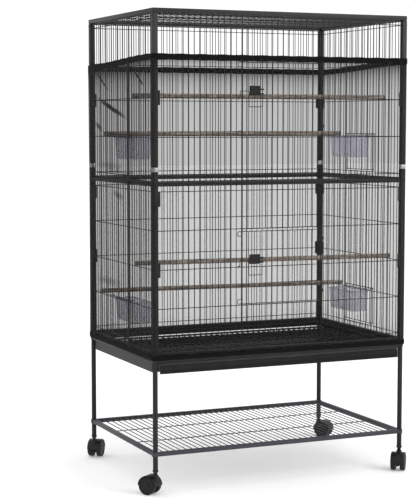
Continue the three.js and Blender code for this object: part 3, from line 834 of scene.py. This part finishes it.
def latch_wire(tier):
    """One bent wire: pull ring, arch and the tip behind the cross wire."""
    middle = cross_heights(tier)[2]
    y = DOOR_LAYER - 2.5 * MM
    leg, guide, tip = PLATE_LEFT - 2.2 * MM, PLATE_RIGHT + 6 * MM, DOOR_LEFT - 6.3 * MM
    foot, arch, rest = middle - 23 * MM, middle + 20 * MM, middle + 2.5 * MM
    points = [
        (guide, y, middle + 35 * MM), (guide, y, foot), (leg, y, foot), (leg, y, arch),
        (tip, y, arch), (tip, y, rest), (tip, 5 * MM, rest), (tip, 5 * MM, middle - 4 * MM),
    ]
    return joined(f"latch_{tier}", [bent_wire(points, 1.1 * MM, 2.4 * MM)])


class CAGE_OT_front_doors(bpy.types.Operator):
    """Make the two front doors and their latches"""

    bl_idname = "cage.front_doors"
    bl_label = "Front doors"

    def execute(self, context):
        for tier in LEVELS:
            door = moved(front_door(tier, context.scene.cage_sizes), side_matrix("front"))
            fitted(door, coat(context), "powder_coat", f"door_{tier}", f"front_door_{tier}")
            hook = moved(latch_wire(tier), side_matrix("front"))
            fitted(hook, coat(context), "powder_coat", f"latch_{tier}", f"door_latch_{tier}")
        return {"FINISHED"}


# ---- Feeder doors and cups ------------------------------------------------------------------


def feeder_door(tier, sizes):
    """Sliding door with loops on the two heavy uprights."""
    z = cross_heights(tier)
    low, high = z[0] + 3.2 * MM, z[1] + 9.2 * MM
    y, thin, pitch = -5.3 * MM, sizes.thin_wire / 2, sizes.pitch
    edge_at = FEEDER_GAPS * pitch
    shapes = []
    for level in (low + 2.2 * MM, high - 2.2 * MM):
        shapes.append(rod((-edge_at, y, level), (edge_at, y, level), thin))
    for x in (-edge_at, edge_at):
        shapes.append(rod((x, y, low), (x, y, high), 1.1 * MM))
        for level in (low + 3.2 * MM, high - 3.2 * MM):
            half = 3.2 * MM
            points = [(x - half, y, level), (x + half, y, level),
                      (x + half, 3.1 * MM, level), (x - half, 3.1 * MM, level)]
            shapes.append(bent_wire(points, 0.9 * MM, 1.6 * MM, closed=True))
    fill = upright_row((1 - FEEDER_GAPS, 8), pitch, low + 2.2 * MM, high - 2.2 * MM, thin * 0.85)
    shapes.append(moved(fill, Matrix.Translation((0, y, 0))))
    return joined(f"feeder_wires_{tier}", shapes)


def feeder_cup(tier):
    """An open moulded cup with a rolled rim and two hooks."""
    rim = cross_heights(tier)[1]
    foot, half, near, far = rim - 64 * MM, 74 * MM, 5 * MM, 63 * MM
    cup = box((-half, near, foot), (half, far, rim - 0.1 * MM))
    faces(cup, facing(z=-1))
    bpy.ops.transform.resize(value=(0.95, 0.9, 1))
    done()
    cup = rounded(cup, 5 * MM, 3)
    faces(cup, lambda face: face.normal.z > 0.9 and face.area > 1e-3)
    bpy.ops.mesh.delete(type="FACE")
    done()
    modify(cup, "SOLIDIFY", thickness=1.8 * MM, offset=-1)
    lip = rail_ring(half, (far - near) / 2, 2.6 * MM, rim - 4.5 * MM, rim, 0.8 * MM)
    moved(lip, Matrix.Translation((0, (near + far) / 2, 0)))
    shapes = [cup, lip]
    for x in (-36 * MM, 36 * MM):
        points = [(x, near + MM, rim - 2 * MM), (x, near + MM, rim + 2.7 * MM),
                  (x, -2.9 * MM, rim + 2.7 * MM), (x, -2.9 * MM, rim - 6 * MM)]
        strip = bent_wire(points, 0.95 * MM, 1.2 * MM)
        pick(strip)
        strip.scale.x = 5
        strip.location.x = -4 * x
        shapes.append(settle(strip))
    return joined(f"cup_{tier}", shapes)


class CAGE_OT_feeders(bpy.types.Operator):
    """Make the four feeder doors and their cups"""

    bl_idname = "cage.feeders"
    bl_label = "Feeders"

    def execute(self, context):
        plastic = finish_named("cup_plastic", cup_plastic, context.scene.cage_colours.cup)
        for tier in LEVELS:
            door, cup = feeder_door(tier, context.scene.cage_sizes), feeder_cup(tier)
            for side in ("right", "left"):
                label = f"{side}_{tier}"
                piece = copied(door, side_matrix(side))
                piece.name = f"slide_{label}"
                node = f"feeder_door_{label}"
                fitted(piece, coat(context), "powder_coat", node, node)
                piece = copied(cup, side_matrix(side))
                piece.name = f"seed_cup_{label}"
                fitted(piece, plastic, "cup_plastic", f"cup_{label}", f"feeder_cup_{label}")
            for spare in (door, cup):
                bpy.data.objects.remove(spare, do_unlink=True)
        return {"FINISHED"}


# ---- Perches --------------------------------------------------------------------------------


class CAGE_OT_perches(bpy.types.Operator):
    """Make the four wooden perches"""

    bl_idname = "cage.perches"
    bl_label = "Perches"

    def execute(self, context):
        sizes = context.scene.cage_sizes
        wood = finish_named("dowel_wood", dowel_wood, context.scene.cage_colours.wood)
        radius = sizes.perch_diameter / 2
        end = HALF_X + 2.6 * MM
        for node, (tier, wire, left, right) in PERCHES.items():
            z = cross_heights(tier)[wire] + sizes.thin_wire / 2 + FIT + radius
            start, stop = (-end, left * sizes.pitch, z), (end, right * sizes.pitch, z)
            dowel = rounded(rod(start, stop, radius, 28), 1.2 * MM, 2)
            piece = joined(f"dowel_{node[6:]}", [dowel])
            fitted(piece, wood, "dowel_wood", "cage", node)
        return {"FINISHED"}


# ---- Stand ----------------------------------------------------------------------------------


def sockets(foot, head, radius):
    """Round sockets where the legs pass the corners."""
    shapes = []
    for x_way, y_way, _ in CORNERS.values():
        x, y = x_way * HALF_X, y_way * HALF_Y
        shapes.append(rounded(rod((x, y, foot), (x, y, head), radius, 28), MM, 2))
    return shapes


class CAGE_OT_stand(bpy.types.Operator):
    """Make the legs, the top frame and the wire shelf"""

    bl_idname = "cage.stand"
    bl_label = "Stand"

    def execute(self, context):
        sizes = context.scene.cage_sizes
        for corner in CORNERS:
            node = f"leg_{corner}"
            low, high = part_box(node)
            x, y = (low.x + high.x) / 2, (low.y + high.y) / 2
            radius = (high.x - low.x) / 2
            shapes = [
                rounded(rod((x, y, low.z), (x, y, high.z), radius, 32), 0.8 * MM, 2),
                rounded(rod((x, y, low.z + MM), (x, y, low.z + 7 * MM), radius + MM, 32), MM, 2),
            ]
            piece = joined(f"tube_{node}", shapes)
            fitted(piece, coat(context, "stand_coat"), "powder_coat", "cage", node)
        half = RAIL_THICK / 2
        outer_x, outer_y = HALF_X + half, HALF_Y + half
        ring = rail_ring(
            outer_x, outer_y, RAIL_THICK, STAND_LOW.z, STAND_HIGH.z, sizes.tube_rounding,
        )
        shapes = [ring, *sockets(STAND_LOW.z, STAND_HIGH.z - 0.5 * MM, 8.5 * MM)]
        piece = joined("stand_rails", shapes)
        fitted(piece, coat(context, "stand_coat"), "powder_coat", "cage", "stand_top_frame")

        ring = rail_ring(
            outer_x, outer_y, RAIL_THICK, SHELF_LOW.z, SHELF_HIGH.z, sizes.tube_rounding,
        )
        shapes = [ring, *sockets(SHELF_LOW.z - 0.5 * MM, SHELF_HIGH.z + 0.5 * MM, 9.3 * MM)]
        level = (SHELF_LOW.z + SHELF_HIGH.z) / 2 + 2.4 * MM
        places = (-HALF_Y / 3, HALF_Y / 3)
        inside_x, inside_y = HALF_X - half + MM, HALF_Y - half + MM
        shapes += wire_floor(inside_x, inside_y, level, places, sizes)
        piece = joined("wire_shelf", shapes)
        fitted(piece, coat(context, "shelf_coat"), "powder_coat", "cage", "shelf")
        return {"FINISHED"}


# ---- Tray, grate and runners ----------------------------------------------------------------


class CAGE_OT_tray(bpy.types.Operator):
    """Make the pull-out tray and wire grate, and finish the runners"""

    bl_idname = "cage.tray"
    bl_label = "Tray and grate"

    def execute(self, context):
        sizes = context.scene.cage_sizes
        foot, head = TRAY_LOW.z + 4.2 * MM, TRAY_HIGH.z - 1.8 * MM
        front = TRAY_LOW.y + 0.4 * MM
        pan = box((TRAY_LOW.x, front, foot), (TRAY_HIGH.x, TRAY_HIGH.y, head))
        faces(pan, facing(z=-1))
        bpy.ops.transform.resize(value=(0.995, 0.993, 1))
        done()
        pan = rounded(pan, 1.2 * MM, 2)
        faces(pan, lambda face: face.normal.z > 0.9 and face.area > 0.01)
        bpy.ops.mesh.inset(thickness=1.5 * MM)
        bpy.ops.mesh.extrude_region_move(
            TRANSFORM_OT_translate={"value": (0, 0, foot + 1.6 * MM - head)}
        )
        done()
        flap = box((TRAY_LOW.x, TRAY_LOW.y, TRAY_LOW.z), (TRAY_HIGH.x, front + MM, TRAY_HIGH.z))
        faces(flap, facing(y=-1))
        bpy.ops.mesh.inset(thickness=3 * MM)
        bpy.ops.mesh.inset(thickness=MM, depth=-0.4 * MM)
        done()
        flap = rounded(flap, 0.3 * MM, 2)
        piece = joined("pull_out_tray", [pan, flap], 30)
        gloss = finish_named("tray_gloss", tray_gloss)
        fitted(piece, gloss, "tray_gloss", "tray", "tray")

        bar = 6 * MM
        half_x, half_y = GRATE_HIGH.x, (GRATE_HIGH.y - GRATE_LOW.y) / 2
        shapes = [rail_ring(half_x, half_y, bar, GRATE_LOW.z, GRATE_HIGH.z, 1.5 * MM)]
        level = GRATE_HIGH.z - sizes.grid_wire / 2 - FIT
        inside_x, inside_y = half_x - bar + MM, half_y - bar + MM
        places = (-HALF_Y / 3, HALF_Y / 3)
        shapes += wire_floor(inside_x, inside_y, level, places, sizes)
        grate = joined("wire_grate", shapes)
        moved(grate, Matrix.Translation((0, (GRATE_HIGH.y + GRATE_LOW.y) / 2, 0)))
        fitted(grate, coat(context), "powder_coat", "grate", "floor_grate")
        for side in ("right", "left"):
            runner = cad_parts[f"tray_runner_{side}"]
            runner.data.materials.clear()
            runner.data.materials.append(coat(context, "stand_coat"))
        return {"FINISHED"}


# ---- Casters --------------------------------------------------------------------------------

WHEEL_RADIUS = 25 * MM
TRAIL = 18 * MM


def axle_disc(radius, start, end, sides=40):
    """A disc on the wheels' axle, for a caster that trails towards +X."""
    return rod((TRAIL, start, WHEEL_RADIUS), (TRAIL, end, WHEEL_RADIUS), radius, sides)


def caster_hood():
    """A hood over both wheels, with its web, boss and stem."""
    side = 20.5 * MM
    shell = rounded(axle_disc(28.5 * MM, -side, side), 2.5 * MM, 3)
    faces(shell, lambda face: True)
    bpy.ops.mesh.bisect(
        plane_co=(0, 0, WHEEL_RADIUS), plane_no=(0, 0, -1), clear_outer=True, use_fill=True
    )
    done()
    rooms = [axle_disc(26.5 * MM, 5 * MM, side + MM), axle_disc(26.5 * MM, -side - MM, -5 * MM)]
    hood = rounded(cut(shell, *rooms), 0.5 * MM, 1, 50)
    web = box((TRAIL - 19 * MM, -4.8 * MM, 12.8 * MM), (TRAIL + 19 * MM, 4.8 * MM, 46 * MM))
    top = 55.5 * MM
    boss = rod((0, 0, 37 * MM), (0, 0, top), 8 * MM, 28)
    stem = rod((0, 0, top - 2 * MM), (0, 0, 85 * MM), 5.2 * MM, 24)
    shapes = [hood, rounded(web, 4 * MM, 3), rounded(boss, 1.5 * MM, 3), rounded(stem, MM, 2)]
    return joined("caster_hood", shapes)


def caster_wheels():
    """Two wheels with a raised rim, a dished face and a hub cap, on one axle."""
    shapes = [rounded(axle_disc(3 * MM, -8 * MM, 8 * MM, 20), 0.5 * MM, 1)]
    for way in (-1, 1):
        near, far = way * 6.5 * MM, way * 20.5 * MM
        wheel = rounded(axle_disc(WHEEL_RADIUS, near, far, 48), 2 * MM, 3)
        faces(wheel, lambda face: abs(face.normal.y) > 0.9 and face.area > 1e-4)
        bpy.ops.mesh.inset(thickness=2.2 * MM)
        bpy.ops.mesh.inset(thickness=0.6 * MM, depth=-1.4 * MM)
        bpy.ops.mesh.inset(thickness=10 * MM)
        bpy.ops.mesh.inset(thickness=0.6 * MM, depth=1.2 * MM)
        done()
        shapes.append(wheel)
    return joined("caster_wheels", shapes)


class CAGE_OT_casters(bpy.types.Operator):
    """Make the four twin-wheel casters"""

    bl_idname = "cage.casters"
    bl_label = "Casters"

    def execute(self, context):
        base = context.scene.cage_colours.caster
        housing = caster_plastic("caster_housing", base, 0.38)
        tread = caster_plastic("caster_tread", base, 0.5)
        hood, wheels = caster_hood(), caster_wheels()
        for corner, (x_way, y_way, swing) in CORNERS.items():
            turn = Matrix.Rotation(math.radians(swing), 4, "Z")
            place = Matrix.Translation((x_way * HALF_X, y_way * HALF_Y, 0)) @ turn
            piece = copied(hood, place)
            piece.name = f"hood_{corner}"
            node = f"caster_housing_{corner}"
            fitted(piece, housing, "caster_plastic", f"caster_{corner}", node)
            piece = copied(wheels, place)
            piece.name = f"twin_wheels_{corner}"
            node = f"caster_wheels_{corner}"
            fitted(piece, tread, "caster_plastic", f"wheels_{corner}", node)
        for spare in (hood, wheels):
            bpy.data.objects.remove(spare, do_unlink=True)
        return {"FINISHED"}


# ---- Net ------------------------------------------------------------------------------------

NET_CORNER = 7 * MM
# How much lower the top elastic sits along the back than along the front.
BAND_DIP = 15 * MM
# Share of the light that the net stops: on the left side, on the others and at the seam.
LEFT_COVER, COVER, SEAM_COVER = 0.5, 0.28, 0.97


def dip(point):
    """How far the top elastic has slipped at this place round the cage."""
    share = min(1, max(0, (point.y + HALF_Y) / (2 * HALF_Y)))
    return BAND_DIP * share * share * (3 - 2 * share)


def outline(step):
    """Points round the posts as (point, outward direction, distance, side), from the front left."""
    half_x, half_y = HALF_X + POST_HALF, HALF_Y + POST_HALF
    runs = (("front", half_x, half_y), ("right", half_y, half_x),
            ("back", half_x, half_y), ("left", half_y, half_x))
    places = []
    travelled = 0.0
    for number, (side, half_run, out) in enumerate(runs):
        turn = Matrix.Rotation(math.radians(90 * number), 2)
        straight = 2 * (half_run - NET_CORNER)
        count = max(2, round(straight / step))
        for i in range(count):
            along = straight * i / count
            point = turn @ Vector((along - straight / 2, -out))
            places.append((point, turn @ Vector((0, -1)), travelled + along, side))
        travelled += straight
        for i in range(4):
            angle = math.radians(22.5 * i)
            way = Vector((math.sin(angle), -math.cos(angle)))
            centre = Vector((straight / 2, NET_CORNER - out))
            point = turn @ (centre + way * NET_CORNER)
            places.append((point, turn @ way, travelled + NET_CORNER * angle, side))
        travelled += NET_CORNER * math.pi / 2
    return places, travelled


def closed_band(name, columns, around, ring=False):
    """A mesh that runs once round the cage, from each column's points. ring closes the columns too."""
    vertices = [point for column in columns for point in column]
    rows = len(columns[0])
    strips = rows if ring else rows - 1
    cells = []
    for i in range(len(columns)):
        j = (i + 1) % len(columns)
        for r in range(strips):
            s = (r + 1) % rows
            cells.append((i * rows + r, j * rows + r, j * rows + s, i * rows + s))
    mesh = bpy.data.meshes.new(name)
    mesh.from_pydata(vertices, [], cells)
    uv = mesh.uv_layers.new(name="cloth")
    for face in mesh.polygons:
        column = face.index // strips
        for corner, ahead in zip(face.loop_indices, (0, 1, 1, 0)):
            height = vertices[mesh.loops[corner].vertex_index][2]
            uv.data[corner].uv = (around[column + ahead], height)
    shape = bpy.data.objects.new(name, mesh)
    bpy.context.collection.objects.link(shape)
    mesh.update()
    return shape


def fold_depth(along, height, total, waves):
    """How far the cloth stands off: fine gathers near the elastics, long soft folds between."""
    near_top, near_foot = math.exp(-(1 - height) * 9), math.exp(-height * 12)
    gather = near_top + near_foot
    turns = 2 * math.pi * along / total
    fine = sum(math.sin(turns * n + p) for n, p in waves[0]) / len(waves[0])
    drift = 0.35 * math.sin(5 * height + 3)
    soft = sum(math.sin(turns * n + p + drift * (n % 3 - 1)) for n, p in waves[1]) / len(waves[1])
    return 2.2 * MM * gather * fine + 3.4 * MM * (0.35 + 0.65 * math.sin(math.pi * height)) * soft


def net_skirt(sizes):
    """The gauze between the two elastics, with its seam and gathered edges."""
    chance = random.Random(7)
    waves = [
        [(n, chance.uniform(0, 6.3)) for n in (61, 83, 97)],
        [(n, chance.uniform(0, 6.3)) for n in (7, 11, 17, 26, 38)],
    ]
    places, total = outline(sizes.net_step)
    low, high = SKIRT_LOW.z - 4 * MM, SKIRT_HIGH.z + 6 * MM
    rows = sizes.net_rows
    stand_off = 3.4 * MM
    seam_at, seam_half = 0.32 * HALF_Y, 8.5 * MM
    columns, density = [], []
    for point, way, along, side in places:
        column = []
        for r in range(rows + 1):
            height = r / rows
            out = stand_off + fold_depth(along, height, total, waves)
            out = max(out, 1.2 * MM)
            seam = side == "left" and abs(point.y + seam_at) < seam_half
            if seam:
                out += 1.5 * MM
            place = point + way * out
            column.append((place.x, place.y, low + (high - dip(point) - low) * height))
            edge = math.exp(-(1 - height) * 30) + 0.3 * math.exp(-height * 30)
            base = LEFT_COVER if side == "left" else COVER
            density.append(SEAM_COVER if seam else min(0.95, base + 0.5 * edge))
        columns.append(column)
    around = [along for _, _, along, _ in places] + [total]
    net = closed_band("net", columns, around)
    attribute = net.data.attributes.new("cloth_cover", "FLOAT", "POINT")
    attribute.data.foreach_set("value", density)
    return joined("net", [net], 60), total, high - low


def elastic_band(name, foot, head, ruffle, slips):
    """A flat woven band, slightly ruffled by the gathered cloth; the top one has slipped."""
    places, total = outline(4 * MM)
    thick = 1.7 * MM
    columns = []
    for point, way, along, _ in places:
        turns = 2 * math.pi * along / total
        wave = ruffle * (math.sin(turns * 131) + 0.6 * math.sin(turns * 74 + 1))
        inner, outer = 2.2 * MM, 2.2 * MM + thick + max(0, wave)
        crown = 0.3 * MM
        profile = ((inner, foot), (outer - crown, foot), (outer, foot + MM), (outer, head - MM),
                   (outer - crown, head), (inner, head))
        lift = 0.5 * MM * math.sin(turns * 43)
        down = dip(point) if slips else 0
        column = []
        for out, z in profile:
            place = point + way * out
            sway = lift if z > (foot + head) / 2 else -lift
            column.append((place.x, place.y, z + sway - down))
        columns.append(column)
    around = [along for _, _, along, _ in places] + [total]
    return joined(name, [closed_band(name, columns, around, ring=True)], 50)


class CAGE_OT_net(bpy.types.Operator):
    """Make the see-through net and its two elastics"""

    bl_idname = "cage.net"
    bl_label = "Net"

    def execute(self, context):
        elastic = finish_named("woven_elastic", woven_elastic)
        bands = {}
        for name, node, body, slips in (
            ("top_elastic", "net_top_elastic", "net_band", True),
            ("bottom_elastic", "net_bottom_elastic", "cage", False),
        ):
            low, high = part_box(node)
            bands[name] = elastic_band(name, low.z, high.z, 0.35 * MM, slips)
            fitted(bands[name], elastic, "net_elastic", body, node)
        net, around, tall = net_skirt(context.scene.cage_sizes)
        gauze = finish_named("net_gauze", net_gauze, context.scene.cage_colours.net)
        fitted(net, gauze, "net_gauze", "cage", "net_skirt")
        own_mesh(net)
        return {"FINISHED"}


# ---- Stage ----------------------------------------------------------------------------------


def soft_light(name, place, target, size, power):
    """A square soft light aimed at a point."""
    light = bpy.data.lights.new(name, "AREA")
    light.shape = "SQUARE"
    light.size = size
    light.energy = power
    lamp = bpy.data.objects.new(name, light)
    lamp.location = place
    way = Vector(target) - Vector(place)
    lamp.rotation_euler = way.to_track_quat("-Z", "Y").to_euler()
    bpy.context.collection.objects.link(lamp)


class CAGE_OT_stage(bpy.types.Operator):
    """Make the floor, the lights and the camera"""

    bl_idname = "cage.stage"
    bl_label = "Stage"

    def execute(self, context):
        fresh()
        bpy.ops.mesh.primitive_plane_add(size=60, location=(0, 0, -MM / 2))
        floor = bpy.context.object
        floor.name = "studio_floor"
        finish = Finish("studio_floor", (0.97, 0.97, 0.97), 0.9)
        finish.tint(finish.noise(2, 2), 0.995, 1.0)
        finish.set(**{"Emission Color": (1, 1, 1, 1), "Emission Strength": 0.16})
        floor.data.materials.append(finish.material)
        world = bpy.data.worlds.new("studio")
        world.use_nodes = True
        world.node_tree.nodes["Background"].inputs["Color"].default_value = (1, 1, 1, 1)
        world.node_tree.nodes["Background"].inputs["Strength"].default_value = 1.06
        context.scene.world = world
        context.scene.view_settings.view_transform = "Standard"
        aim = (0, 0, 0.6)
        soft_light("key_light", (2.6, -3.6, 2.6), aim, 1.6, 70)
        camera = bpy.data.objects.new("camera", bpy.data.cameras.new("camera"))
        bpy.context.collection.objects.link(camera)
        camera.location = (-1.8691, -3.9693, 1.0130)
        camera.rotation_euler = (math.radians(85.16), 0, math.radians(-23.8))
        camera.data.lens = 106.7
        camera.data.sensor_width = 36
        context.scene.camera = camera
        return {"FINISHED"}


# ---- Panel and run --------------------------------------------------------------------------

STEPS = (
    CAGE_OT_posts, CAGE_OT_panels, CAGE_OT_roof, CAGE_OT_front_doors, CAGE_OT_feeders,
    CAGE_OT_perches, CAGE_OT_stand, CAGE_OT_tray, CAGE_OT_casters, CAGE_OT_net, CAGE_OT_stage,
)


class CAGE_PT_sidebar(bpy.types.Panel):
    """Sizes, colours and steps of the cage"""

    bl_label = "Bird cage"
    bl_space_type = "VIEW_3D"
    bl_region_type = "UI"
    bl_category = "Cage"

    def draw(self, context):
        for group in (context.scene.cage_sizes, context.scene.cage_colours):
            for name in group.__annotations__:
                self.layout.prop(group, name)
        for step in STEPS:
            self.layout.operator(step.bl_idname)


CLASSES = (CageSizes, CageColours, *STEPS, CAGE_PT_sidebar)


def register():
    """Registers the classes and their settings."""
    for item in CLASSES:
        bpy.utils.register_class(item)
    bpy.types.Scene.cage_sizes = PointerProperty(type=CageSizes)
    bpy.types.Scene.cage_colours = PointerProperty(type=CageColours)


def unregister():
    """Removes the settings and the classes."""
    del bpy.types.Scene.cage_colours
    del bpy.types.Scene.cage_sizes
    for item in reversed(CLASSES):
        bpy.utils.unregister_class(item)


def main():
    """Makes every piece in order."""
    register()
    for step in STEPS:
        group, name = step.bl_idname.split(".")
        getattr(getattr(bpy.ops, group), name)()


if __name__ == "__main__":
    main()
